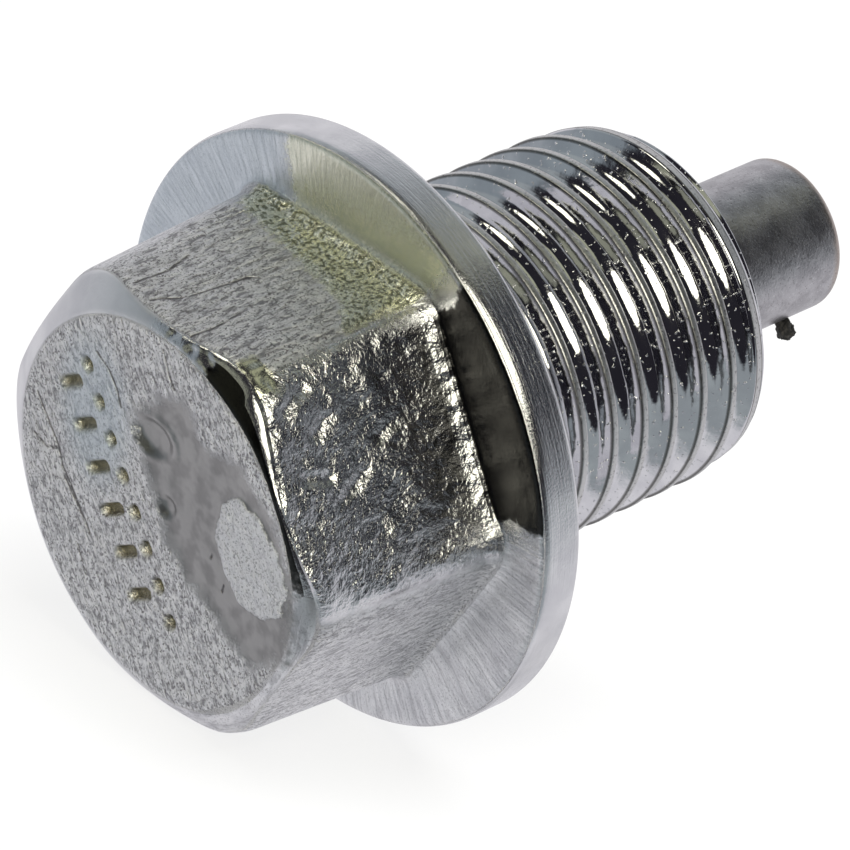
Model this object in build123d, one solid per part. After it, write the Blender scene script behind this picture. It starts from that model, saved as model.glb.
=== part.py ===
"""Magnetic oil drain plug: a forged hexagon head with a round flange, a threaded shank and a magnet in its end.

Millimetres. Each piece is built about the plug's axis, with z = 0 on the flange's face towards the head, the
shank along +Z and one flat of the hexagon towards +X. It is then laid as it comes to rest: on the flange's rim
and on that flat's outer edge, with the magnet pointing up and towards +X, the bottom on z = 0.
"""

import math
import os

from build123d import *

# Head: hexagon with draft, so it is smaller at its outer end, where its corners are also rounder.
HEX_FLATS = 14.0
HEX_FLATS_OUTER = 13.54
CORNER_ROUND = 1.31
CORNER_ROUND_OUTER = 2.89
HEAD_HEIGHT = 7.2
FACE_INSET = 0.43
FACE_SLOPE_DEG = 32.4
FACE_EDGE_ROUND = 0.7
HEAD_ROOT_ROUND = 0.55

# Flange: stands out past the hexagon's corners, rounded edge towards the head, bevelled edge towards the seat.
FLANGE_OVERHANG = 1.85
FLANGE_THICKNESS = 1.79
FLANGE_EDGE_ROUND = 0.3
SEAT_BEVEL_WIDTH = 0.48
SEAT_BEVEL_HEIGHT = 0.41

# Shank: one right-hand thread start, M12 x 1.25.
PITCH = 1.25
CREST_RADIUS = 5.95
THREAD_DEPTH = 0.72
CREST_SHARE = 0.14
ROOT_SHARE = 0.1
SHANK_LENGTH = 11.4
THREAD_START = 0.57
LEAD_LENGTH = 1.6
LEAD_TAPER = 0.29
END_CHAMFER = 0.3

# Magnet: a plain cylinder, sunk in a blind bore.
MAGNET_RADIUS = 2.55
MAGNET_OUT = 6.31
MAGNET_SUNK = 6.7
MAGNET_EDGE_ROUND = 0.3
BORE_CLEARANCE = 0.01
BORE_MOUTH = 0.15

HEX_CORNER = HEX_FLATS / 2 / math.cos(math.pi / 6)
HEX_REACH = HEX_CORNER - CORNER_ROUND * (1 / math.cos(math.pi / 6) - 1)
FACE_RADIUS = HEX_FLATS_OUTER / 2 - FACE_INSET
FLANGE_RADIUS = HEX_REACH + FLANGE_OVERHANG
SEAT_RADIUS = FLANGE_RADIUS - SEAT_BEVEL_WIDTH
ROOT_RADIUS = CREST_RADIUS - THREAD_DEPTH
LEAD_RADIUS = CREST_RADIUS - LEAD_TAPER
SEAT_Z = FLANGE_THICKNESS
SHANK_END_Z = SEAT_Z + SHANK_LENGTH
BORE_FLOOR_Z = SHANK_END_Z - MAGNET_SUNK
MAGNET_END_Z = SHANK_END_Z + MAGNET_OUT


def turned(points):
    """Solid of revolution about Z from (radius, z) corners in order."""
    with BuildPart() as made:
        with BuildSketch(Plane.XZ):
            with BuildLine():
                Polyline(points, close=True)
            make_face()
        revolve(axis=Axis.Z)
    return made.part


def hexagon(across_flats, rounding, z):
    """Hexagon at height z with a flat towards +X and rounded corners."""
    with BuildSketch(Plane.XY.offset(z)) as made:
        RegularPolygon(across_flats / 2, 6, major_radius=False, rotation=30)
        fillet(made.vertices(), rounding)
    return made.sketch.faces()[0]


def head_limit():
    """What the forging's outer end is turned to: flat face, soft edge, sloping chamfer across the corners."""
    slope = math.tan(math.radians(FACE_SLOPE_DEG))
    outer = max(HEX_FLATS, HEX_FLATS_OUTER) / 2 / math.cos(math.pi / 6)
    with BuildPart() as made:
        with BuildSketch(Plane.XZ) as profile:
            with BuildLine():
                Polyline(
                    (0, SEAT_Z / 2),
                    (0, -HEAD_HEIGHT),
                    (FACE_RADIUS, -HEAD_HEIGHT),
                    (outer, -HEAD_HEIGHT + slope * (outer - FACE_RADIUS)),
                    (outer, SEAT_Z / 2),
                    close=True,
                )
            make_face()
            edge = profile.vertices().sort_by_distance((FACE_RADIUS, 0, -HEAD_HEIGHT))[0]
            fillet(edge, FACE_EDGE_ROUND)
        revolve(axis=Axis.Z)
    return made.part


def head():
    """Hexagon head with draft, down into the flange, its outer end chamfered."""
    outer = hexagon(HEX_FLATS_OUTER, CORNER_ROUND_OUTER, -HEAD_HEIGHT)
    growth = SEAT_Z / 2 / HEAD_HEIGHT
    inner = hexagon(
        HEX_FLATS + growth * (HEX_FLATS - HEX_FLATS_OUTER),
        CORNER_ROUND + growth * (CORNER_ROUND - CORNER_ROUND_OUTER),
        SEAT_Z / 2,
    )
    return loft([outer, inner], ruled=True) & head_limit()


def flange():
    """Round flange with a small rounded edge towards the head, a bevel towards the seat and its seam to one side."""
    disc = turned(
        [
            (0, 0),
            (FLANGE_RADIUS, 0),
            (FLANGE_RADIUS, SEAT_Z - SEAT_BEVEL_HEIGHT),
            (SEAT_RADIUS, SEAT_Z),
            (0, SEAT_Z),
        ]
    )
    rim = disc.edges().filter_by(GeomType.CIRCLE).group_by(Axis.Z)[0]
    return fillet(rim, FLANGE_EDGE_ROUND).rotate(Axis.Z, 90)


def shank_blank():
    """Shank before threading, standing on the seat, its lead end turned down."""
    return turned(
        [
            (0, SEAT_Z),
            (CREST_RADIUS, SEAT_Z),
            (CREST_RADIUS, SHANK_END_Z - LEAD_LENGTH),
            (LEAD_RADIUS, SHANK_END_Z - END_CHAMFER),
            (LEAD_RADIUS - END_CHAMFER, SHANK_END_Z),
            (0, SHANK_END_Z),
        ]
    )


def groove_turn(z):
    """One turn of the right-hand thread's groove, starting at height z, cut a little wider than the crests."""
    over = 0.1
    root = PITCH * ROOT_SHARE / 2
    crest = PITCH * (1 - CREST_SHARE) / 2
    mouth = root + (crest - root) * (CREST_RADIUS + over - ROOT_RADIUS) / (CREST_RADIUS - ROOT_RADIUS)
    with BuildSketch(Plane.XZ) as made:
        with BuildLine():
            Polyline(
                (ROOT_RADIUS, -root),
                (CREST_RADIUS + over, -mouth),
                (CREST_RADIUS + over, mouth),
                (ROOT_RADIUS, root),
                close=True,
            )
        make_face()
    path = Helix(pitch=PITCH, height=PITCH, radius=ROOT_RADIUS, center=(0, 0, z))
    return sweep(made.sketch.moved(Location((0, 0, z))).faces()[0], path=path, is_frenet=True)


def shank():
    """Threaded shank: the groove is cut turn by turn from near the seat until it runs out of the end."""
    threaded = shank_blank()
    z = SEAT_Z + THREAD_START
    while z < SHANK_END_Z + PITCH / 2:
        threaded -= groove_turn(z)
        z += PITCH
    return threaded


def bore():
    """Blind bore for the magnet, with a small chamfer at its mouth."""
    radius = MAGNET_RADIUS + BORE_CLEARANCE
    return turned(
        [
            (0, BORE_FLOOR_Z),
            (radius, BORE_FLOOR_Z),
            (radius, SHANK_END_Z - BORE_MOUTH),
            (radius + BORE_MOUTH + 1, SHANK_END_Z + 1),
            (0, SHANK_END_Z + 1),
        ]
    )


def plug_body():
    """The steel piece: head, flange and shank in one, with the bore taken out."""
    blank = head() + flange()
    foot = [
        edge
        for edge in blank.edges()
        if all(abs(v.Z) < 0.01 and math.hypot(v.X, v.Y) < HEX_REACH + 0.2 for v in edge.vertices())
    ]
    return fillet(foot, HEAD_ROOT_ROUND) + (shank() - bore())


def magnet():
    """The magnet, from the bore's floor to its free end."""
    bar = turned([(0, BORE_FLOOR_Z), (MAGNET_RADIUS, BORE_FLOOR_Z), (MAGNET_RADIUS, MAGNET_END_Z), (0, MAGNET_END_Z)])
    end = bar.edges().filter_by(GeomType.CIRCLE).group_by(Axis.Z)[-1]
    return fillet(end, MAGNET_EDGE_ROUND)


def rest_angle():
    """Degrees from the floor to the axis, with the flange's rounded rim and the flat's outer edge both touching."""
    slope = math.tan(math.radians(FACE_SLOPE_DEG))
    draft = (HEX_FLATS - HEX_FLATS_OUTER) / 2 / HEAD_HEIGHT
    rise = (HEX_FLATS_OUTER / 2 - FACE_RADIUS) * slope / (1 - draft * slope)
    across = FLANGE_RADIUS - FLANGE_EDGE_ROUND - HEX_FLATS_OUTER / 2 - draft * rise
    along = FLANGE_EDGE_ROUND + HEAD_HEIGHT - rise
    return math.degrees(math.atan2(across, along) + math.asin(FLANGE_EDGE_ROUND / math.hypot(across, along)))


def main():
    """Lay both pieces down as one, centred over the origin, and write them."""
    pieces = {"plug_body": plug_body(), "magnet": magnet()}
    laid = {name: piece.rotate(Axis.Y, 90 - rest_angle()) for name, piece in pieces.items()}
    boxes = [piece.bounding_box() for piece in laid.values()]
    low = [min(getattr(box.min, axis) for box in boxes) for axis in "XYZ"]
    high = [max(getattr(box.max, axis) for box in boxes) for axis in "XYZ"]
    place = Location((-(low[0] + high[0]) / 2, -(low[1] + high[1]) / 2, -low[2]))
    print("rest angle", rest_angle(), "origin on the axis frame moved by", place.position)
    os.makedirs("parts", exist_ok=True)
    for name, piece in laid.items():
        export_step(piece.moved(place), f"parts/{name}.step")


main()
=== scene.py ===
import math

import bmesh
import bpy
import numpy as np
from mathutils import Matrix, Vector, noise


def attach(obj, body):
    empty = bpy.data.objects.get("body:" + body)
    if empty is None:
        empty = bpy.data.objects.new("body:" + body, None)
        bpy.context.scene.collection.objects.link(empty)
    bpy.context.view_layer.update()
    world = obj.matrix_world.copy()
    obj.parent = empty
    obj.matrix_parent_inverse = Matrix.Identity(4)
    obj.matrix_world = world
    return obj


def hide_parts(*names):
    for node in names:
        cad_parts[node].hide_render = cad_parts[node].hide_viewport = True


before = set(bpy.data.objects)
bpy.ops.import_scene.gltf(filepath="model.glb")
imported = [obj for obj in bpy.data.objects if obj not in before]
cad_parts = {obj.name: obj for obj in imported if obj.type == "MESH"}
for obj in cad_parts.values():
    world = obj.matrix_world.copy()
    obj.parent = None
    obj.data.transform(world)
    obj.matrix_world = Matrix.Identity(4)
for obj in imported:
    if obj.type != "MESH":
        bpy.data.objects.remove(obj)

scene = bpy.context.scene
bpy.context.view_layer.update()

# The plug's axis
# The plug lies on its flange's rim and on the outer edge of one hexagon flat, with its tip in the air.
# Every piece is made upright about its own axis in millimetres, then laid down as one.
REST_TILT = math.radians(22.395576)
FLANGE_CENTRE = (-4.91831, 0, 8.90467)
LAID_DOWN = (
    Matrix.Scale(0.001, 4)
    @ Matrix.Translation(FLANGE_CENTRE)
    @ Matrix.Rotation(math.pi / 2 - REST_TILT, 4, "Y")
)
STOOD_UP = LAID_DOWN.inverted()


def lay_down(piece):
    """Moves an upright mesh in millimetres to where the plug lies."""
    piece.data.transform(LAID_DOWN)
    piece.data.update()


def ring_grid_mesh(name, rings):
    """A closed skin from rings of points round the axis, shaped (rings, round, 3), with poles."""
    count, around, _ = rings.shape
    points = [tuple(p) for p in rings.reshape(-1, 3)]
    faces = []
    for k in range(count - 1):
        for i in range(around):
            j = (i + 1) % around
            faces.append((k * around + i, k * around + j, (k + 1) * around + j, (k + 1) * around + i))
    for k in (0, count - 1):
        pole = len(points)
        points.append((0, 0, float(rings[k, :, 2].mean())))
        for i in range(around):
            faces.append((k * around + i, pole, k * around + (i + 1) % around))
    mesh = bpy.data.meshes.new(name)
    mesh.from_pydata(points, [], faces)
    skin = bmesh.new()
    skin.from_mesh(mesh)
    bmesh.ops.recalc_face_normals(skin, faces=skin.faces[:])
    skin.to_mesh(mesh)
    skin.free()
    mesh.polygons.foreach_set("use_smooth", [True] * len(mesh.polygons))
    piece = bpy.data.objects.new(name, mesh)
    scene.collection.objects.link(piece)
    return piece


# Camera
# Looks at the head's end from in front and above, rolled so that the plug's axis climbs to the right,
# with the long lens that such a small part is photographed with.
CAMERA_AZIMUTH, CAMERA_ELEVATION, CAMERA_ROLL = (math.radians(a) for a in (218.8739, 17.4608, 21.1734))
CAMERA_AIM, CAMERA_DISTANCE = Vector((0.0031149, 0.0030807, 0.0076134)), 0.2

camera_data = bpy.data.cameras.new("camera")
camera_data.lens = 266.1665
camera_data.sensor_width = 36.0
camera_data.clip_start = 0.01
camera_data.clip_end = 10.0
camera = bpy.data.objects.new("camera", camera_data)
camera_turn = (
    Matrix.Rotation(CAMERA_AZIMUTH + math.pi / 2, 4, "Z")
    @ Matrix.Rotation(math.pi / 2 - CAMERA_ELEVATION, 4, "X")
    @ Matrix.Rotation(CAMERA_ROLL, 4, "Z")
)
camera_right, camera_up, camera_back = [side.copy() for side in camera_turn.to_3x3().col]
camera.matrix_world = Matrix.Translation(CAMERA_AIM + camera_back * CAMERA_DISTANCE) @ camera_turn
scene.collection.objects.link(camera)
scene.camera = camera
scene.view_settings.view_transform = "Standard"


# Head and flange
# Hot forged in one piece and zinc plated: a drafted hexagon, its end turned to a cone a little off centre,
# on a round flange. The skin is dull and streaked on the end face and on the upper and lower flats, hammered
# and mirror bright on the flat towards the camera, and brushed on the flange's rim.
HALF_FLATS_FOOT, HALF_FLATS_END = 7.0, 6.77
CORNER_FOOT, CORNER_END = 1.31, 2.89
HEAD_HEIGHT = 7.2
FACE_RADIUS, FACE_SLOPE, FACE_OFF_CENTRE = 6.34, math.radians(32.4), 0.3
FLANGE_RADIUS, FLANGE_THICKNESS, SEAT_RADIUS, RIM_SIDE_END = 9.73, 1.79, 9.25, 1.38
UNDER_SEAT_RADIUS = 4.0


def wire(tree, kind, settings=None, **sockets):
    """Adds a node: settings are its own options, sockets go by name or as i0, i1 and hold a value or link."""
    node = tree.nodes.new(kind)
    for label, value in (settings or {}).items():
        setattr(node, label, value)
    for label, value in sockets.items():
        key = int(label[1:]) if label[1:].isdigit() else label.replace("_", " ")
        if isinstance(value, bpy.types.NodeSocket):
            tree.links.new(value, node.inputs[key])
        else:
            node.inputs[key].default_value = value
    return node


def maths(tree, operation, *values):
    """One sum on up to three numbers."""
    sockets = {f"i{k}": value for k, value in enumerate(values)}
    return wire(tree, "ShaderNodeMath", {"operation": operation}, **sockets).outputs[0]


def times(tree, value, amount):
    """The product of two numbers."""
    return maths(tree, "MULTIPLY", value, amount)


def plus(tree, base, value, amount=1.0):
    """The base with an amount of the value added."""
    return maths(tree, "MULTIPLY_ADD", value, amount, base)


def ramp(tree, value, low, high):
    """0 up to low and 1 from high on, eased between them. high may be the smaller one."""
    start, end = (1.0, 0.0) if high < low else (0.0, 1.0)
    node = wire(
        tree, "ShaderNodeMapRange", {"interpolation_type": "SMOOTHSTEP"}, Value=value,
        From_Min=min(low, high), From_Max=max(low, high), To_Min=start, To_Max=end,
    )
    return node.outputs["Result"]


def blend_colour(tree, share, first, second):
    """The first colour where share is 0 and the second where it is 1."""
    colours = [c if isinstance(c, bpy.types.NodeSocket) else (*c, 1) for c in (first, second)]
    node = wire(tree, "ShaderNodeMix", {"data_type": "RGBA"}, i0=share, i6=colours[0], i7=colours[1])
    return node.outputs[2]


def blend_value(tree, share, first, second):
    """The first number where share is 0 and the second where it is 1."""
    return wire(tree, "ShaderNodeMix", {"data_type": "FLOAT"}, i0=share, i2=first, i3=second).outputs[0]


def laid_over(tree, base, coats):
    """Lays coats over a base colour in turn, each with where it lies, how strong it is and its colour."""
    for where, strength, colour in coats.values():
        base = blend_colour(tree, times(tree, where, strength), base, colour)
    return base


def embossed(tree, surface, reliefs):
    """Gives a surface its fine relief: each part is a pattern with its height in millimetres."""
    height = 0.0
    for pattern, amount in reliefs.values():
        height = plus(tree, height, pattern, amount)
    bump = wire(tree, "ShaderNodeBump", Strength=1.0, Distance=0.001, Height=height)
    tree.links.new(bump.outputs["Normal"], surface.inputs["Normal"])


def upright_place(tree):
    """Object coordinates turned back to the plug's own axis, in millimetres."""
    place, turn, size = STOOD_UP.decompose()
    where = wire(tree, "ShaderNodeTexCoord").outputs["Object"]
    node = wire(
        tree, "ShaderNodeMapping", Vector=where, Location=place, Rotation=turn.to_euler(), Scale=size
    )
    return node.outputs["Vector"]


def noise_at(tree, place, scale, detail=2.0, rough=0.5, bent=0.0):
    """Soft noise from 0 to 1, scale lumps a millimetre."""
    sizes = {"Scale": scale, "Detail": detail, "Roughness": rough, "Distortion": bent}
    return wire(tree, "ShaderNodeTexNoise", Vector=place, **sizes).outputs["Fac"]


def given(tree, name):
    """A number that the mesh carries at each point."""
    return wire(tree, "ShaderNodeAttribute", {"attribute_name": name}).outputs["Fac"]


def new_metal(name):
    """A bare metal material, with its tree and its surface."""
    metal = bpy.data.materials.new(name)
    metal.use_nodes = True
    surface = metal.node_tree.nodes["Principled BSDF"]
    surface.inputs["Metallic"].default_value = 1.0
    return metal, metal.node_tree, surface


def forged_zinc():
    """The head's and flange's plating. The mesh carries where each grain, tint and mark lies, and where dark
    and yellow-green reflections are painted into its colour.
    """
    plating, tree, surface = new_metal("forged_zinc")
    place = upright_place(tree)
    flow = wire(tree, "ShaderNodeAttribute", {"attribute_name": "flow"}).outputs["Vector"]
    streaky, hammered, brushed = given(tree, "streaky"), given(tree, "hammered"), given(tree, "brushed")
    pit = given(tree, "pit")

    cloud = noise_at(tree, place, 0.55, 4.0)
    uneven = maths(tree, "SUBTRACT", noise_at(tree, place, 3.0, 4.0, 0.65), 0.5)
    streak = noise_at(tree, flow, 1.0, 5.0, 0.66, 0.7)
    fine = noise_at(tree, place, 13.0, 3.0, 0.6)
    hammer = noise_at(tree, place, 7.5, 3.0, 0.6)
    lumps = noise_at(tree, place, 1.5, 2.0)

    def ragged_area(name, wander, low, high):
        """Where something that the mesh carries lies, with a ragged edge."""
        return ramp(tree, plus(tree, given(tree, name), uneven, wander), low, high)

    crack_line = ragged_area("crack", 0.10, 0.075, 0.02)
    pad_area = ragged_area("rough_pad", 0.5, -0.04, 0.06)
    off_pad = maths(tree, "SUBTRACT", 1.0, pad_area)
    smooth_area = times(tree, ragged_area("smooth_spot", 1.3, -0.2, 0.35), off_pad)
    dull = times(tree, streaky, maths(tree, "SUBTRACT", 1.0, smooth_area))
    # where the yellow-green reflection of the warm light is painted in, with a ragged edge
    painted_olive_area = ragged_area("painted_olive_reflection", 1.6, 0.25, 0.75)
    painted_olive_side = times(tree, painted_olive_area, hammered)
    # where a dark reflection is painted on the flange and the inner chamfer
    painted_dark_area = ragged_area("painted_dark_reflection", 0.9, 0.35, 0.6)

    base = blend_colour(tree, ramp(tree, cloud, 0.35, 0.65), (0.70, 0.70, 0.725), (0.83, 0.83, 0.845))
    worn_grey = blend_colour(tree, ramp(tree, lumps, 0.38, 0.62), (0.20, 0.197, 0.193), (0.30, 0.296, 0.29))
    coats = {
        "dark streaks": (times(tree, dull, ramp(tree, streak, 0.485, 0.40)), 0.75, (0.21, 0.205, 0.22)),
        "light streaks": (times(tree, dull, ramp(tree, streak, 0.50, 0.58)), 1.0, (0.95, 0.95, 0.96)),
        "specks": (times(tree, dull, ramp(tree, fine, 0.45, 0.37)), 1.0, (0.20, 0.19, 0.20)),
        "blue haze": (given(tree, "blue_tint"), 0.5, (0.58, 0.68, 0.76)),
        # painted yellow-green reflection, then painted dark specks and bright glints on its hammered grain
        "painted_olive_reflection": (painted_olive_area, 0.75, (0.88, 0.885, 0.70)),
        "dark specks of painted_olive_reflection": (times(tree, painted_olive_side, ramp(tree, hammer, 0.5, 0.42)), 0.8, (0.22, 0.23, 0.15)),
        "bright glints of painted_olive_reflection": (times(tree, painted_olive_side, ramp(tree, hammer, 0.53, 0.6)), 1.0, (1.0, 1.0, 0.86)),
        # painted dark reflection: near black where the flange and chamfer mirror the dark flat
        "painted dark reflection": (painted_dark_area, 0.975, (0.025, 0.024, 0.022)),
        "smooth spot": (smooth_area, 0.9, worn_grey),
        "pad": (pad_area, 0.7, (0.90, 0.91, 0.94)),
        "pad's specks": (times(tree, pad_area, ramp(tree, fine, 0.46, 0.38)), 0.6, (0.30, 0.30, 0.32)),
        "cracks": (crack_line, 0.85, (0.07, 0.065, 0.07)),
        # painted shade and gold glints in the punched dots and bars
        "pits' painted shade and gold glints": (pit, 0.8, (0.34, 0.29, 0.15)),
    }
    tree.links.new(laid_over(tree, base, coats), surface.inputs["Base Color"])

    roughness = blend_value(tree, given(tree, "mirror"), 0.36, 0.17)
    roughness = plus(tree, roughness, maths(tree, "SUBTRACT", fine, 0.5), 0.16)
    for where, smoother in ((brushed, 0.2), (smooth_area, 0.33), (pit, 0.16)):
        roughness = blend_value(tree, where, roughness, smoother)
    tree.links.new(roughness, surface.inputs["Roughness"])

    embossed(tree, surface, {
        "streaks": (streak, times(tree, dull, 0.1)),
        "hammer marks": (hammer, times(tree, hammered, 0.046)),
        "hammered lumps": (lumps, times(tree, hammered, 0.14)),
        "smooth spot's lumps": (lumps, times(tree, smooth_area, 0.05)),
        "grain": (fine, blend_value(tree, smooth_area, 0.009, 0.003)),
        "pad's grain": (fine, times(tree, pad_area, 0.05)),
        "brush marks": (streak, times(tree, brushed, 0.012)),
        "cracks": (crack_line, -0.05),
    })
    return plating


# the mesh is finer on the side that the forging's marks are on
fine_side, plain_side = np.linspace(130, 330, 352, endpoint=False), np.linspace(330, 490, 128, endpoint=False)
degrees = np.concatenate([fine_side, plain_side])
azimuth = np.radians(degrees)
degrees = degrees % 360


def hexagon_reach(height):
    """How far the head's side stands from the axis at each azimuth, for one height per azimuth."""
    share = -height / HEAD_HEIGHT
    half = HALF_FLATS_FOOT + (HALF_FLATS_END - HALF_FLATS_FOOT) * share
    rounding = CORNER_FOOT + (CORNER_END - CORNER_FOOT) * share
    off = np.abs((azimuth + math.pi / 6) % (math.pi / 3) - math.pi / 6)
    flat = half / np.cos(off)
    centre = (half - rounding) / math.cos(math.pi / 6)
    delta = math.pi / 6 - off
    corner = centre * np.cos(delta) + np.sqrt(np.maximum(rounding**2 - (centre * np.sin(delta)) ** 2, 0))
    return np.where(half * np.tan(off) <= (half - rounding) * math.tan(math.pi / 6), flat, corner)


def eased(value, low, high):
    """0 up to low and 1 from high on, eased between them. high may be the smaller one."""
    t = np.clip((value - low) / (high - low), 0, 1)
    return t * t * (3 - 2 * t)


def between(value, low, high, soft):
    """1 from low to high and 0 outside, with soft ends."""
    return eased(value, low - soft, low + soft) * eased(value, high + soft, high - soft)


face_reach = FACE_RADIUS + FACE_OFF_CENTRE * np.cos(azimuth - math.radians(270))
# where the turned cone meets the drafted sides, found by going to and fro between the two
edge_height = np.full(len(azimuth), -HEAD_HEIGHT + 0.5)
for _ in range(30):
    edge_height = -HEAD_HEIGHT + math.tan(FACE_SLOPE) * (hexagon_reach(edge_height) - face_reach)
zero = np.zeros(len(azimuth))
face_round = 0.25 + 0.5 * between(degrees, 262, 330, 6)
worn_edge = 0.22 + 0.4 * between(degrees, 213, 236, 3) + 0.5 * between(degrees, 262, 330, 6)
rim_round = 0.3 + 0.16 * between(degrees, 216, 247, 5)

# the section's corners, each with its reach, height, how far back it is rounded, and the steps in that round
profile_corners = [
    (zero + 0.02, zero - HEAD_HEIGHT, zero, 1),
    (face_reach, zero - HEAD_HEIGHT, face_round, 6),
    (hexagon_reach(edge_height), edge_height, worn_edge, 7),
    (hexagon_reach(zero), zero, zero + 0.55, 6),
    (zero + FLANGE_RADIUS, zero, rim_round, 8),
    (zero + FLANGE_RADIUS, zero + RIM_SIDE_END, zero + 0.06, 3),
    (zero + SEAT_RADIUS, zero + FLANGE_THICKNESS, zero + 0.08, 3),
    (zero + UNDER_SEAT_RADIUS, zero + FLANGE_THICKNESS, zero, 1),
]
steps_between_corners = [60, 8, 58, 22, 9, 4, 12]

stations = []
part_starts = []
for k, (reach, height, cut, steps) in enumerate(profile_corners):
    here = np.stack([reach, height], axis=1)
    bend = [here]
    if 0 < k < len(profile_corners) - 1:
        before = np.stack(profile_corners[k - 1][:2], axis=1) - here
        after = np.stack(profile_corners[k + 1][:2], axis=1) - here
        before_length = np.linalg.norm(before, axis=1, keepdims=True)
        after_length = np.linalg.norm(after, axis=1, keepdims=True)
        start = here + before / before_length * np.minimum(cut[:, None], before_length * 0.45)
        end = here + after / after_length * np.minimum(cut[:, None], after_length * 0.45)
        bend = [(1 - t) ** 2 * start + 2 * t * (1 - t) * here + t**2 * end for t in np.linspace(0, 1, steps)]
    if stations:
        last = stations[-1]
        straight_steps = steps_between_corners[k - 1]
        stations += [last + (bend[0] - last) * j / straight_steps for j in range(1, straight_steps)]
    part_starts.append(len(stations) + steps // 2)
    stations += bend
stations = np.array(stations)
row_of = np.arange(len(stations))[:, None] + 0 * azimuth[None, :]
part_ends = part_starts[1:5] + [len(stations)]
on_face, on_cone, on_sides, on_flange, on_rim = (
    ((row_of >= begin) & (row_of < end)).astype(float) for begin, end in zip(part_starts, part_ends)
)
reach, height = stations[:, :, 0], stations[:, :, 1]
x, y = reach * np.cos(azimuth), reach * np.sin(azimuth)
turned = np.broadcast_to(degrees, reach.shape)
head_rings = np.stack([x, y, height], axis=2)

down = np.gradient(head_rings, axis=0)
round_about = np.roll(head_rings, -1, axis=1) - np.roll(head_rings, 1, axis=1)
outward = np.cross(down, round_about)
outward /= np.maximum(np.linalg.norm(outward, axis=2, keepdims=True), 1e-9)
side_row = (part_starts[2] + part_starts[3]) // 2
outward *= np.sign(np.sum(outward[side_row] * head_rings[side_row] * (1, 1, 0)))


def grain(points, scale, seed):
    """Smooth noise from -1 to 1 at each point, scale lumps a millimetre."""
    flat = points.reshape(-1, 3) * scale + seed
    return np.array([noise.noise(p) for p in flat]).reshape(points.shape[:-1])


# further than any mark on the skin reaches
FAR_OFF = 9.0


def line_distance(px, py, line):
    """How far each point is from a bent line."""
    nearest = np.full(px.shape, FAR_OFF)
    for (ax, ay), (bx, by) in zip(line, line[1:]):
        t = ((px - ax) * (bx - ax) + (py - ay) * (by - ay)) / ((bx - ax) ** 2 + (by - ay) ** 2)
        t = np.clip(t, 0, 1)
        nearest = np.minimum(nearest, np.hypot(px - ax - t * (bx - ax), py - ay - t * (by - ay)))
    return nearest


def depth_inside(px, py, outline):
    """How far inside a closed outline each point is, negative outside."""
    inside = np.zeros(px.shape, bool)
    for (ax, ay), (bx, by) in zip(outline, outline[1:] + outline[:1]):
        crosses = (ay > py) != (by > py)
        inside ^= crosses & (px < ax + (py - ay) * (bx - ax) / ((by - ay) or 1e-9))
    return np.where(inside, 1, -1) * line_distance(px, py, outline + outline[:1])


# marks on the end face, in mm from the axis
face_cracks = [
    [(-1.4, 5.3), (-0.6, 4.7), (0.0, 4.2), (0.6, 4.0), (1.0, 3.6), (1.6, 3.1), (2.3, 2.6)],
    [(0.9, 3.9), (1.5, 3.3), (1.9, 2.9)],
    [(3.0, 3.1), (3.9, 2.7)],
    [(-4.3, 2.6), (-4.0, 2.0), (-3.5, 1.6), (-3.0, 1.4)],
    [(0.1, 5.4), (0.3, 4.8), (0.1, 4.3)],
    [(-0.1, -3.0), (0.12, -2.9)],
    [(0.7, -3.55), (0.98, -3.5)],
    [(-6.0, -0.4), (-5.4, -0.7), (-4.9, -1.0)],
]
smooth_spot = depth_inside(x, y, [
    (-4.3, -0.2), (-3.6, 0.4), (-2.7, 1.0), (-2.0, 0.5), (-1.0, 0.0), (0.5, -0.8), (1.5, -1.8), (1.9, -2.9),
    (2.6, -4.2), (2.9, -5.0), (1.9, -6.6), (-1.0, -6.8), (-3.0, -5.5), (-4.1, -3.8), (-3.7, -2.5),
    (-4.9, -1.4),
])
rough_pad = depth_inside(x, y, [
    (-2.7, -4.0), (-2.1, -3.3), (-0.8, -3.1), (0.2, -3.6), (0.9, -4.3), (0.9, -5.4), (0.3, -6.2),
    (-0.7, -6.4), (-1.8, -5.9), (-2.5, -5.0),
])
crack = np.minimum.reduce([line_distance(x, y, line) for line in face_cracks]) + FAR_OFF * (1 - on_face)

# a plain row of punched dots with short bars above it
row_way, row_up = np.array((0.85, -0.53)), np.array((0.53, 0.85))
first_dot, dot_count, dot_spacing = np.array((-3.6, 3.05)), 8, 1.17
first_bar, bar_count, bar_spacing = np.array((-2.65, 3.70)), 6, 1.36
pit = np.zeros(x.shape)
for k in range(dot_count):
    at = first_dot + row_way * dot_spacing * k
    pit = np.maximum(pit, eased(np.hypot(x - at[0], y - at[1]), 0.32, 0.12))
for k in range(bar_count):
    at = first_bar + row_way * bar_spacing * k
    bar = line_distance(x, y, [tuple(at - row_up * 0.30), tuple(at + row_up * 0.45)])
    pit = np.maximum(pit, eased(bar, 0.26, 0.08))
pit *= on_face

# a shallow ring, a dimple, the worn smooth spot and the raised pad, as heights in mm
ring_out = np.hypot((x + 2.7) / 0.65, (y + 0.1) / 0.95)
dimple = np.hypot(x + 0.6, y + 0.85)
lift = -0.26 * pit
lift -= on_face * (0.10 * eased(ring_out, 0.95, 0.6) - 0.05 * between(ring_out, 0.98, 1.25, 0.12))
lift -= on_face * 0.13 * eased(dimple, 0.5, 0.15)
lift -= on_face * 0.07 * eased(smooth_spot, -0.1, 0.7)
lift += on_face * eased(rough_pad, -0.12, 0.1) * (0.06 + 0.03 * grain(head_rings, 3.0, 7.0))
lift += on_face * 0.03 * grain(head_rings, 0.8, 3.0)

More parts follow.
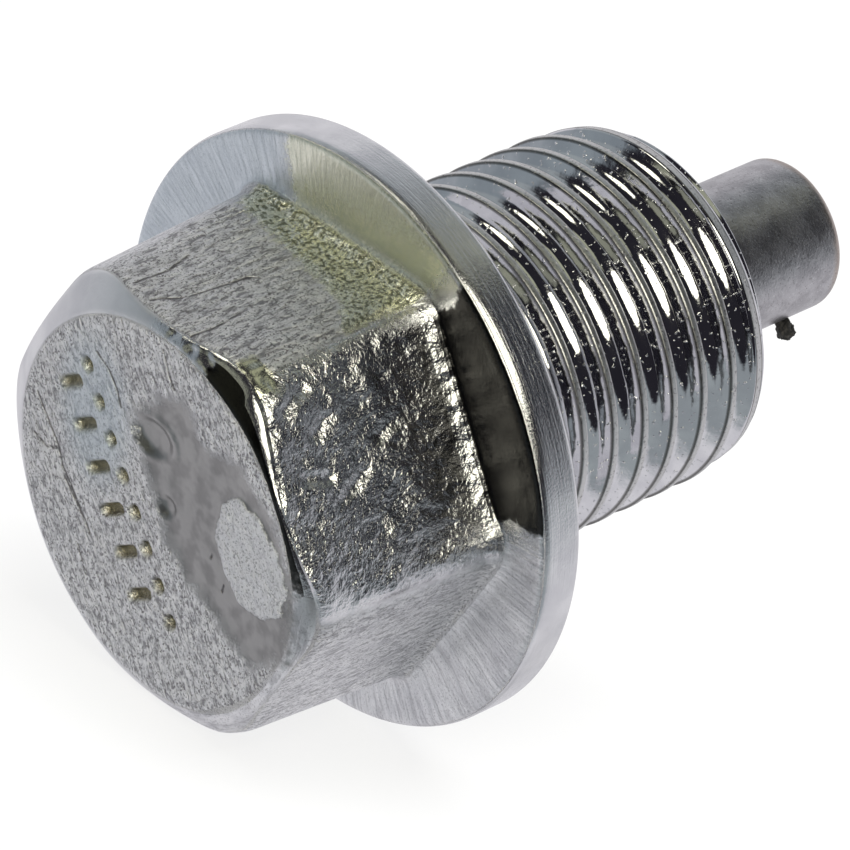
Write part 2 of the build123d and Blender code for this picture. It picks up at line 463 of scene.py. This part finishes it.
# marks on the sides, as degrees round the head and height, measured along the skin
SIDE_REACH = 7.1
degree_length = math.pi / 180 * SIDE_REACH
round_length = turned * degree_length
side_cracks = [
    [(172, -6.6), (176, -5.8), (178, -4.6), (179, -3.6), (181, -3.3)],
    [(190, -6.9), (191, -6.0), (190, -5.0)],
    [(164, -6.4), (165, -5.2), (163, -4.2)],
]
gouges = [
    [(240, -4.0), (245, -5.0)],
    [(224, -4.7), (227, -5.3)],
    [(231, -2.6), (233, -3.1)],
    [(216, -5.2), (219, -6.0)],
    [(236, -5.9), (238, -5.2)],
]


def side_distance(marks):
    """How far each point of the sides is from the nearest mark."""
    lines = [[(turn * degree_length, z) for turn, z in mark] for mark in marks]
    return np.minimum.reduce([line_distance(round_length, height, line) for line in lines])


crack = np.minimum(crack, side_distance(side_cracks) + FAR_OFF * (1 - on_sides))
towards = between(turned, 209.5, 270, 1.5)
waves = 0.09 * grain(head_rings * (1, 1, 0.7), 0.9, 11.0) + 0.03 * grain(head_rings, 2.4, 5.0)
lift -= on_sides * towards * 0.10 * eased(side_distance(gouges), 0.34, 0.0)
lift += on_sides * towards * waves
upper = between(turned, 152, 209.5, 2)
long_grain = grain(np.stack([round_length, height * 0.16, zero + 0 * height], axis=2), 3.2, 9.0)
lift += on_sides * upper * (0.03 * long_grain + 0.02 * grain(head_rings, 1.2, 2.0))

# the ragged ridge at the head's foot, the uneven chamfer, the burr at the corner and the flange's waves
foot_line = between(height, -0.42, -0.2, 0.14) * between(turned, 150, 270, 4)
lift += on_sides * foot_line * (0.09 + 0.16 * grain(head_rings, 2.6, 21.0))
above_edge = height - edge_height[None, :]
worn_band = (on_sides + on_cone) * between(above_edge, -0.1, 0.5, 0.25)
lift += worn_band * between(turned, 211, 250, 3) * 0.06 * grain(head_rings, 1.6, 31.0)
burr = between(turned, 185, 200, 4) * on_cone
lift += burr * 0.10 * grain(head_rings, 2.6, 41.0)
lift += on_flange * 0.02 * grain(head_rings, 0.9, 14.0) * eased(reach, 9.4, 9.0)
head_rings = head_rings + outward * (lift * eased(reach, 0.2, 0.6))[:, :, None]

head = ring_grid_mesh("head_and_flange", head_rings)


def store(name, values, at_poles=0.0):
    """Keeps one number a point on the head's mesh, with the poles' at the end."""
    poles = [at_poles] * (len(head.data.vertices) - values.size)
    data = np.append(np.asarray(values, dtype=np.float32).ravel(), poles).astype(np.float32)
    head.data.attributes.new(name, "FLOAT", "POINT").data.foreach_set("value", data)


wander = 2.5 * grain(head_rings, 0.9, 17.0)
wandered = turned + wander
# painted yellow-green reflection on the upper flat near the flange, on the flange beside it and on a patch at
# one corner
corner_patch = between(turned, 204, 214, 2) * between(height, -7.1, -5.9, 0.2)
painted_olive_line = np.interp(turned, [150, 155, 200, 207, 211], [-1.0, -1.2, -2.2, -3.0, -3.2])
painted_olive_reflection = on_sides * between(turned, 152, 209, 2) * eased(height, painted_olive_line - 0.5, painted_olive_line + 0.4)
painted_olive_reflection = np.maximum.reduce([painted_olive_reflection, on_flange * between(wandered, 163, 209, 3), on_sides * corner_patch])
store("painted_olive_reflection", painted_olive_reflection)

# painted dark reflection: the flange beside the mirror bright flat, and the inner chamfer, are darkened in
# colour where they mirror that flat
dark_reflection_paint = on_flange * between(wandered, 213.5, 262, 2.5) * eased(height, 0.25, 0.1)
inner_cone = on_cone * (row_of < part_starts[2] - 4)
dark_reflection_paint = np.maximum(dark_reflection_paint, inner_cone * between(wandered, 199, 262, 4))
store("painted_dark_reflection", dark_reflection_paint - (1 - np.clip(dark_reflection_paint * 9, 0, 1)))

cone_dark = on_cone * between(turned, 178, 263, 4)
flange_dark = on_flange * between(wandered, 210, 268, 4)
mirror_areas = [on_sides * towards, burr, cone_dark, flange_dark, on_rim * 0.8, 0.85 * painted_olive_reflection]
store("mirror", np.maximum.reduce(mirror_areas))
hammered = np.maximum(on_sides * towards, 1.15 * on_sides * painted_olive_reflection * (1 - corner_patch))
hammered = np.maximum.reduce([hammered, 0.22 * flange_dark + 0.1 * cone_dark, foot_line * on_sides])
store("hammered", hammered * (1 - 0.8 * corner_patch))

lower = between(turned, 272, 330, 3)
streaky = on_face + on_sides * (upper * (1 - painted_olive_reflection) + 0.8 * lower) + on_cone * 0.5 * eased(turned, 262, 275)
far_sides = on_sides * (1 - eased(turned, 150, 156) * eased(turned, 332, 326))
streaky = np.maximum.reduce([streaky, 0.6 * far_sides, on_flange * 0.35 * (1 - between(turned, 209, 262, 4))])
store("streaky", streaky)

store("brushed", on_rim)
store("crack", crack, FAR_OFF)
store("pit", pit)
store("smooth_spot", np.where(on_face + on_cone > 0, smooth_spot, -FAR_OFF), -FAR_OFF)
store("rough_pad", np.where(on_face > 0, rough_pad, -FAR_OFF), -FAR_OFF)
blue_face = on_face * eased(np.hypot((x + 2.2) / 3.2, (y - 2.6) / 2.0), 1.1, 0.4)
store("blue_tint", blue_face + on_flange * eased(turned, 168, 158))

# the way that the grain is drawn out, as coordinates in which its lumps are about one across
round_x, round_y = x / np.maximum(reach, 0.1), y / np.maximum(reach, 0.1)
along_row, across_row = x * row_way[0] + y * row_way[1], x * row_up[0] + y * row_up[1]
flow = sum(
    area[:, :, None] * np.stack(drawn_out, axis=2)
    for area, drawn_out in (
        (on_face, [along_row * 3.0, across_row * 7.2, 0 * x]),
        (on_cone, [x * 0.8, y * 0.8, height * 8]),
        (on_sides, [x * 7.4, y * 7.4, height * 2.5]),
        (on_flange, [round_x * 55, round_y * 55, reach * 0.8]),
        (on_rim, [x * 0.25, y * 0.25, (height + reach) * 13]),
    )
).reshape(-1, 3)
flow = np.vstack([flow, np.zeros((len(head.data.vertices) - len(flow), 3))]).astype(np.float32)
head.data.attributes.new("flow", "FLOAT_VECTOR", "POINT").data.foreach_set("vector", flow.ravel())
lay_down(head)
head.data.materials.append(forged_zinc())
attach(head, "root")
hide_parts("plug_body")


# Threaded shank
# A fine right-hand thread, rolled on the forging's stem, with a turned-down lead at its end
# and a blind bore for the magnet. Its foot is buried in the flange that it grows out of.
SHANK_FOOT, SHANK_END = 1.2, 13.19
BORE_RADIUS, BORE_MOUTH_RADIUS, BORE_MOUTH_DEPTH, BORE_FLOOR = 2.56, 2.71, 0.15, 6.49
MERGE_WITHIN = 0.0005


def thread_tree(material):
    """Geometry Nodes: a tube of rows that climb a pitch a turn, its radius set by the thread's profile."""
    tree = bpy.data.node_groups.new("rolled_thread", "GeometryNodeTree")
    tree.interface.new_socket("Geometry", in_out="OUTPUT", socket_type="NodeSocketGeometry")
    sizes = {
        "Pitch": 1.25,
        "Crest Radius": 5.95,
        "Thread Depth": 0.58,
        "Flank Half Angle": 30.0,
        "Head Facing Root Round": 0.5,
        "Tip Facing Root Round": 0.14,
        "Deepest Shift": 0.1,
        "Crest Round": 0.06,
        "Foot Height": SHANK_FOOT,
        "End Height": SHANK_END,
        "First Groove": 2.36,
        "Run-out Start": 1.85,
        "Run-out End": 2.6,
        "Lead Length": 1.6,
        "Lead Taper": 0.29,
        "End Chamfer": 0.3,
        "Roll Wobble": 0.012,
        "Wobble Ring": 6.0,
    }
    for label, value in sizes.items():
        socket = tree.interface.new_socket(label, in_out="INPUT", socket_type="NodeSocketFloat")
        socket.default_value = value
    for label, value in {"Round Steps": 216, "Steps A Pitch": 34, "Seed": 4}.items():
        tree.interface.new_socket(label, in_out="INPUT", socket_type="NodeSocketInt").default_value = value
    size = tree.nodes.new("NodeGroupInput").outputs

    def calc(operation, *values):
        return maths(tree, operation, *values)

    def ranged(value, low, high, to_low, to_high, kind="LINEAR"):
        settings = {"interpolation_type": kind}
        node = wire(tree, "ShaderNodeMapRange", settings, i0=value, i1=low, i2=high, i3=to_low, i4=to_high)
        return node.outputs[0]

    # a flat grid, two turns longer than the shank, that is wound into a tube
    length = calc("SUBTRACT", size["End Height"], size["Foot Height"])
    turns = calc("CEIL", calc("ADD", calc("DIVIDE", length, size["Pitch"]), 2.0))
    rows = calc("ADD", calc("MULTIPLY", turns, size["Steps A Pitch"]), 1.0)
    columns = calc("ADD", size["Round Steps"], 1.0)
    grid = wire(tree, "GeometryNodeMeshGrid", Size_X=1.0, Size_Y=1.0, Vertices_X=columns, Vertices_Y=rows)
    split = wire(tree, "ShaderNodeSeparateXYZ", i0=wire(tree, "GeometryNodeInputPosition").outputs[0])
    around = calc("ADD", split.outputs["X"], 0.5)
    up_turns = calc("MULTIPLY", calc("ADD", split.outputs["Y"], 0.5), turns)
    half_step = calc("DIVIDE", 0.5, size["Steps A Pitch"])
    climb = calc("ADD", calc("SUBTRACT", calc("ADD", up_turns, around), 2.0), half_step)
    height = calc("ADD", size["First Groove"], calc("MULTIPLY", climb, size["Pitch"]))
    height = calc("MINIMUM", calc("MAXIMUM", height, size["Foot Height"]), size["End Height"])

    # how far this point is from the groove's deepest line, and the rounded V that this makes: the flank past
    # the line faces the head and has the rounder root (ten whole turns more keep the number above zero)
    above_groove = calc("SUBTRACT", height, size["First Groove"])
    turn_share = calc("SUBTRACT", calc("DIVIDE", above_groove, size["Pitch"]), around)
    phase = calc("SUBTRACT", calc("FRACT", calc("ADD", turn_share, 10.5)), 0.5)
    off = calc("ADD", calc("MULTIPLY", phase, size["Pitch"]), size["Deepest Shift"])
    half_angle = calc("RADIANS", size["Flank Half Angle"])
    faces_head = calc("GREATER_THAN", off, 0.0)
    wider = calc("SUBTRACT", size["Head Facing Root Round"], size["Tip Facing Root Round"])
    rounding = calc("ADD", size["Tip Facing Root Round"], calc("MULTIPLY", faces_head, wider))
    away = calc("ABSOLUTE", off)
    bend_end = calc("MULTIPLY", rounding, calc("COSINE", half_angle))
    in_bend = calc("MINIMUM", away, bend_end)
    chord = calc("SQRT", calc("SUBTRACT", calc("POWER", rounding, 2.0), calc("POWER", in_bend, 2.0)))
    past_bend = calc("MAXIMUM", calc("SUBTRACT", away, bend_end), 0.0)
    on_flank = calc("DIVIDE", past_bend, calc("TANGENT", half_angle))
    rise = calc("ADD", calc("SUBTRACT", rounding, chord), on_flank)
    depth = calc("SMOOTH_MAX", calc("SUBTRACT", size["Thread Depth"], rise), 0.0, size["Crest Round"])
    run_out = ranged(height, size["Run-out Start"], size["Run-out End"], 0.0, 1.0, "SMOOTHSTEP")
    threaded = calc("SUBTRACT", size["Crest Radius"], calc("MULTIPLY", depth, run_out))

    # the turned-down lead and the chamfer at its end cut the thread back
    lead_start = calc("SUBTRACT", size["End Height"], size["Lead Length"])
    lead_cut = ranged(height, lead_start, size["End Height"], 0.0, size["Lead Taper"])
    lead = calc("SUBTRACT", size["Crest Radius"], lead_cut)
    chamfer_start = calc("SUBTRACT", size["End Height"], size["End Chamfer"])
    cut_back = ranged(height, chamfer_start, size["End Height"], 0.0, size["End Chamfer"])
    radius = calc("MINIMUM", threaded, calc("SUBTRACT", lead, cut_back))

    # the rolls leave the radius a little uneven
    angle = calc("MULTIPLY", around, 2 * math.pi)
    sine, cosine = calc("SINE", angle), calc("COSINE", angle)
    ring_x = calc("MULTIPLY", cosine, size["Wobble Ring"])
    ring_y = calc("MULTIPLY", sine, size["Wobble Ring"])
    ring_point = wire(tree, "ShaderNodeCombineXYZ", i0=ring_x, i1=ring_y, i2=height).outputs[0]
    waver = wire(
        tree, "ShaderNodeTexNoise", {"noise_dimensions": "4D"},
        Vector=ring_point, W=size["Seed"], Scale=0.5, Detail=2.0,
    ).outputs["Fac"]
    radius = calc("ADD", radius, calc("MULTIPLY", calc("SUBTRACT", waver, 0.5), size["Roll Wobble"]))
    point_x, point_y = calc("MULTIPLY", cosine, radius), calc("MULTIPLY", sine, radius)
    placed = wire(tree, "ShaderNodeCombineXYZ", i0=point_x, i1=point_y, i2=height).outputs[0]
    on_crest = ranged(depth, 0.02, 0.07, 1.0, 0.0, "SMOOTHSTEP")
    tagged = wire(
        tree, "GeometryNodeStoreNamedAttribute", {"data_type": "FLOAT", "domain": "POINT"},
        Geometry=grid.outputs["Mesh"], Name="crest", Value=on_crest,
    )
    moved = wire(tree, "GeometryNodeSetPosition", Geometry=tagged.outputs[0], Position=placed)
    merged = wire(tree, "GeometryNodeMergeByDistance", Geometry=moved.outputs[0], Distance=MERGE_WITHIN)
    smooth = wire(tree, "GeometryNodeSetShadeSmooth", i0=merged.outputs[0])
    realized = wire(tree, "GeometryNodeRealizeInstances", i0=smooth.outputs[0])
    coated = wire(tree, "GeometryNodeSetMaterial", Geometry=realized.outputs[0], Material=material)
    tree.links.new(coated.outputs[0], tree.nodes.new("NodeGroupOutput").inputs[0])
    return tree


def rolled_zinc():
    """Mirror bright flanks that waver a little, and crests that handling has dulled, with dark reflections
    painted along their edges.
    """
    plating, tree, surface = new_metal("rolled_zinc")
    place = upright_place(tree)
    crest = given(tree, "crest")
    fine = noise_at(tree, place, 11.0, 3.0, 0.6)
    specks = noise_at(tree, place, 7.0, 1.0)
    cloud = noise_at(tree, place, 0.8, 4.0)
    # painted dark reflection along both edges of each crest
    crest_edge_painted_dark = times(tree, crest, maths(tree, "SUBTRACT", 1.0, crest))
    base = blend_colour(tree, ramp(tree, cloud, 0.35, 0.65), (0.66, 0.66, 0.69), (0.78, 0.78, 0.80))
    coats = {
        "crests": (crest, 0.8, (0.62, 0.62, 0.61)),
        "specks": (times(tree, crest, ramp(tree, fine, 0.44, 0.34)), 1.0, (0.34, 0.33, 0.34)),
        "crests' edges' painted dark reflection": (crest_edge_painted_dark, 3.4, (0.06, 0.058, 0.05)),
    }
    tree.links.new(laid_over(tree, base, coats), surface.inputs["Base Color"])
    roughness = plus(tree, plus(tree, 0.05, crest, 0.28), fine, 0.05)
    tree.links.new(roughness, surface.inputs["Roughness"])
    embossed(tree, surface, {
        "long waves": (noise_at(tree, place, 0.9, 2.0), 0.022),
        "short waves": (noise_at(tree, place, 2.6, 2.0), 0.005),
        "specks": (ramp(tree, specks, 0.66, 0.76), 0.02),
        "grain": (fine, blend_value(tree, crest, 0.0008, 0.009)),
    })
    return plating


thread_host = bpy.data.objects.new("thread_host", bpy.data.meshes.new("thread_host"))
scene.collection.objects.link(thread_host)
rolling = thread_host.modifiers.new("rolled_thread", "NODES")
rolling.node_group = thread_tree(rolled_zinc())
for item in rolling.node_group.interface.items_tree:
    if item.in_out == "INPUT":
        rolling[item.identifier] = item.default_value
bpy.context.view_layer.update()
rolled = thread_host.evaluated_get(bpy.context.evaluated_depsgraph_get())
thread_mesh = bpy.data.meshes.new_from_object(rolled)
bpy.data.objects.remove(thread_host)

# the tube's ends are closed: the foot by a disc, the end by its face and the bore, from the rim inwards
closing_at_foot = [(0.0, SHANK_FOOT)]
closing_at_end = [
    (5.28, SHANK_END),
    (4.2, SHANK_END),
    (BORE_MOUTH_RADIUS + 0.05, SHANK_END),
    (BORE_MOUTH_RADIUS, SHANK_END),
    (BORE_RADIUS, SHANK_END - BORE_MOUTH_DEPTH),
    (BORE_RADIUS, SHANK_END - BORE_MOUTH_DEPTH - 0.1),
    (BORE_RADIUS, BORE_FLOOR),
    (0.0, BORE_FLOOR),
]
skin = bmesh.new()
skin.from_mesh(thread_mesh)
dulled = skin.verts.layers.float["crest"]
open_edges = [edge for edge in skin.edges if edge.is_boundary]
for at_foot, closing in ((True, closing_at_foot), (False, closing_at_end)):
    ring = [e for e in open_edges if (e.verts[0].co.z < SHANK_FOOT + 1) == at_foot]
    for radius, height in closing:
        grown = bmesh.ops.extrude_edge_only(skin, edges=ring)["geom"]
        for vert in grown:
            if isinstance(vert, bmesh.types.BMVert):
                angle = math.atan2(vert.co.y, vert.co.x)
                vert.co = (radius * math.cos(angle), radius * math.sin(angle), height)
                vert[dulled] = 1.0
        ring = [e for e in grown if isinstance(e, bmesh.types.BMEdge) and e.is_boundary]
bmesh.ops.remove_doubles(skin, verts=skin.verts[:], dist=MERGE_WITHIN)
bmesh.ops.recalc_face_normals(skin, faces=skin.faces[:])
skin.to_mesh(thread_mesh)
skin.free()
shank = bpy.data.objects.new("threaded_shank", thread_mesh)
scene.collection.objects.link(shank)
lay_down(shank)
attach(shank, "root")
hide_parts("plug_body")


# Magnet
# A sintered cylinder with a dull, fine-grained skin and a tumbled end edge.
# It is pushed to the floor of the blind bore and stands out of the shank.
MAGNET_RADIUS, MAGNET_END, MAGNET_EDGE = 2.55, 19.50, 0.3
MAGNET_ROUND_STEPS = 160


def sintered_grey():
    """Pressed and sintered alloy: dull, mottled and speckled, browner round its end."""
    alloy, tree, surface = new_metal("sintered_magnet")
    place = upright_place(tree)
    along_axis = wire(tree, "ShaderNodeSeparateXYZ", i0=place).outputs["Z"]
    cloud, fine = noise_at(tree, place, 1.6, 4.0), noise_at(tree, place, 12.0, 3.0, 0.65)
    near_end = ramp(tree, plus(tree, along_axis, cloud, 0.4), MAGNET_END - MAGNET_EDGE, MAGNET_END)
    base = blend_colour(tree, ramp(tree, cloud, 0.38, 0.62), (0.42, 0.41, 0.43), (0.54, 0.53, 0.55))
    coats = {
        "light specks": (ramp(tree, fine, 0.58, 0.7), 0.7, (0.72, 0.72, 0.73)),
        "dark specks": (ramp(tree, fine, 0.42, 0.3), 0.7, (0.16, 0.15, 0.15)),
        "brown end": (near_end, 0.5, (0.42, 0.31, 0.22)),
    }
    tree.links.new(laid_over(tree, base, coats), surface.inputs["Base Color"])
    tree.links.new(plus(tree, 0.24, cloud, 0.14), surface.inputs["Roughness"])
    embossed(tree, surface, {"grain": (fine, 0.012), "mottling": (cloud, 0.02)})
    return alloy


magnet_around = np.arange(MAGNET_ROUND_STEPS) * (2 * math.pi / MAGNET_ROUND_STEPS)
inner_end = [(MAGNET_RADIUS * k / 4, BORE_FLOOR) for k in range(1, 4)]
long_side = [(MAGNET_RADIUS, z) for z in np.linspace(BORE_FLOOR, MAGNET_END - MAGNET_EDGE, 60)]
tumbled_edge = [
    (MAGNET_RADIUS - MAGNET_EDGE * (1 - math.cos(t)), MAGNET_END - MAGNET_EDGE * (1 - math.sin(t)))
    for t in np.linspace(0, math.pi / 2, 8)[1:]
]
free_end = [((MAGNET_RADIUS - MAGNET_EDGE) * (1 - k / 16), MAGNET_END) for k in range(1, 16)]
magnet_rings = np.array([
    np.stack([r * np.cos(magnet_around), r * np.sin(magnet_around), 0 * magnet_around + z], 1)
    for r, z in inner_end + long_side + tumbled_edge + free_end
])
magnet = ring_grid_mesh("magnet_bar", magnet_rings)
lay_down(magnet)
magnet.data.materials.append(sintered_grey())
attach(magnet, "root")
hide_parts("magnet")


# Steel chip
# A dark fleck of steel dust that the magnet has caught, clinging to its underside near the end.
# It is a lumpy crumb that hangs from the magnet's skin.
CHIP_TURN, CHIP_HEIGHT, CHIP_STAND_OFF = math.radians(322), 17.95, 0.33
CHIP_OUT, CHIP_ROUND, CHIP_ALONG = 0.40, 0.26, 0.28


def steel_dust():
    """Oily steel dust: nearly black, with a gritty skin."""
    dust = bpy.data.materials.new("steel_dust")
    dust.use_nodes = True
    tree = dust.node_tree
    surface = tree.nodes["Principled BSDF"]
    grit = noise_at(tree, upright_place(tree), 9.0, 4.0, 0.7)
    base = blend_colour(tree, ramp(tree, grit, 0.4, 0.7), (0.006, 0.006, 0.007), (0.06, 0.055, 0.05))
    tree.links.new(base, surface.inputs["Base Color"])
    tree.links.new(plus(tree, 0.45, grit, 0.4), surface.inputs["Roughness"])
    embossed(tree, surface, {"grit": (grit, 0.08)})
    return dust


chip_mesh = bpy.data.meshes.new("steel_chip")
crumb = bmesh.new()
bmesh.ops.create_icosphere(crumb, subdivisions=4, radius=1.0)
for vert in crumb.verts:
    way = vert.co.copy()
    lump = 1 + 0.35 * noise.noise(way * 1.7) + 0.18 * noise.noise(way * 5.0)
    reach_out = MAGNET_RADIUS + CHIP_STAND_OFF + way.x * CHIP_OUT * lump
    angle = CHIP_TURN + way.y * CHIP_ROUND * lump / MAGNET_RADIUS
    up_axis = CHIP_HEIGHT + way.z * CHIP_ALONG * lump
    vert.co = (reach_out * math.cos(angle), reach_out * math.sin(angle), up_axis)
bmesh.ops.recalc_face_normals(crumb, faces=crumb.faces[:])
crumb.to_mesh(chip_mesh)
crumb.free()
chip_mesh.polygons.foreach_set("use_smooth", [True] * len(chip_mesh.polygons))
chip = bpy.data.objects.new("steel_chip", chip_mesh)
scene.collection.objects.link(chip)
lay_down(chip)
chip_mesh.materials.append(steel_dust())
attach(chip, "root")


# Floor and light
# A plain white table in a pale tent. The room behind the camera is dark, with one soft oblong lamp in it,
# so that the bright metal shows pale sides, dark fronts and warm glints, as such parts do in a studio.
FLOOR_REACH = 3
OVERHEAD_PLACE = Vector((-0.05, -0.1, 0.5))

floor_corners = [(FLOOR_REACH * a, FLOOR_REACH * b, 0) for a, b in ((-1, -1), (1, -1), (1, 1), (-1, 1))]
floor_mesh = bpy.data.meshes.new("floor")
floor_mesh.from_pydata(floor_corners, [], [(0, 1, 2, 3)])
floor = bpy.data.objects.new("floor", floor_mesh)
scene.collection.objects.link(floor)
floor.visible_glossy = False
floor.visible_shadow = False
paper = bpy.data.materials.new("white_paper")
paper.use_nodes = True
tree = paper.node_tree
matte = tree.nodes["Principled BSDF"]
matte.inputs["Base Color"].default_value = (0.92, 0.92, 0.92, 1)
matte.inputs["Roughness"].default_value = 0.9
glow = wire(tree, "ShaderNodeEmission", Color=(1, 1, 1, 1), Strength=1.0)
seen_by_camera = wire(tree, "ShaderNodeLightPath").outputs["Is Camera Ray"]
glow_share = times(tree, seen_by_camera, 0.8)
blend = wire(tree, "ShaderNodeMixShader", i0=glow_share, i1=matte.outputs[0], i2=glow.outputs[0])
tree.links.new(blend.outputs[0], tree.nodes["Material Output"].inputs["Surface"])
floor_mesh.materials.append(paper)

overhead_data = bpy.data.lights.new("overhead", "AREA")
overhead_data.shape = "DISK"
overhead_data.size = 0.5
overhead_data.energy = 3.5
overhead = bpy.data.objects.new("overhead", overhead_data)
overhead.location = OVERHEAD_PLACE
overhead.rotation_euler = OVERHEAD_PLACE.to_track_quat("Z", "Y").to_euler()
overhead.visible_glossy = False
scene.collection.objects.link(overhead)

tent = bpy.data.worlds.new("tent")
tent.use_nodes = True
tree = tent.node_tree
direction = wire(tree, "ShaderNodeTexCoord").outputs["Generated"]


def along(aim):
    """The cosine between the direction looked in and one given as right, up and towards the camera."""
    fixed = (camera_right * aim[0] + camera_up * aim[1] + camera_back * aim[2]).normalized()
    node = wire(tree, "ShaderNodeVectorMath", {"operation": "DOT_PRODUCT"}, i0=direction, i1=fixed)
    return node.outputs["Value"]


rightward, upward, backward = along((1, 0, 0)), along((0, 1, 0)), along((0, 0, 1))
downward, leftward = maths(tree, "MINIMUM", upward, 0.0), maths(tree, "MINIMUM", rightward, 0.0)
folds = wire(tree, "ShaderNodeTexNoise", Vector=direction, Scale=5.0, Detail=2.0).outputs["Fac"]
folds = times(tree, maths(tree, "SUBTRACT", folds, 0.5), 0.16)

# the tent's cloth, paler towards its back, with two dim stretches
tent_depth = plus(tree, plus(tree, backward, maths(tree, "MAXIMUM", upward, 0.0), 0.3), folds)
dim_side = times(tree, ramp(tree, rightward, -0.8, -0.9), ramp(tree, upward, 0.0, 0.2))
low_back = times(tree, ramp(tree, backward, -0.5, -0.75), ramp(tree, upward, -0.42, -0.58))
cloth = blend_colour(tree, ramp(tree, tent_depth, 0.0, -0.2), (0.34, 0.375, 0.39), (0.74, 0.73, 0.76))
cloth = laid_over(tree, cloth, {
    "dim side": (dim_side, 0.8, (0.25, 0.29, 0.32)),
    "low back": (low_back, 0.7, (0.36, 0.36, 0.37)),
})

# the dark room behind the camera, with what is bright in it, each a soft disc between two angles
opening = plus(tree, plus(tree, plus(tree, backward, downward, 0.5), leftward, 0.25), folds)
room = blend_colour(tree, ramp(tree, opening, -0.04, 0.1), cloth, (0.020, 0.019, 0.025))
bright_discs = {
    "wall": ((-0.865, 0.0, 0.50), 12, 9, (0.30, 0.31, 0.235)),
    "shelf": ((0.42, 0.82, 0.36), 16, 12, (0.40, 0.41, 0.31)),
    "window": ((-0.51, 0.69, 0.51), 13, 9, (2.6, 2.55, 2.05)),
}
for aim, outer, inner, colour in bright_discs.values():
    disc = ramp(tree, along(aim), math.cos(math.radians(outer)), math.cos(math.radians(inner)))
    room = blend_colour(tree, disc, room, colour)

# the lamp: an oval that is longer to the right, in the half of the room behind the camera
across = maths(tree, "DIVIDE", maths(tree, "SUBTRACT", along((0.92, 0.38, 0)), 0.12), 0.44)
tall = maths(tree, "DIVIDE", along((-0.38, 0.92, 0)), 0.30)
squares = maths(tree, "ADD", maths(tree, "POWER", across, 2.0), maths(tree, "POWER", tall, 2.0))
spread = maths(tree, "SQRT", squares)
lamp = times(tree, ramp(tree, spread, 1.12, 0.9), ramp(tree, backward, 0.0, 0.1))
room = blend_colour(tree, lamp, room, (4.2, 4.1, 3.4))
seen_by_camera = wire(tree, "ShaderNodeLightPath").outputs["Is Camera Ray"]
room = blend_colour(tree, seen_by_camera, room, (1.0, 1.0, 1.0))
tree.links.new(room, tree.nodes["Background"].inputs["Color"])
tree.nodes["Background"].inputs["Strength"].default_value = 1.0
scene.world = tent
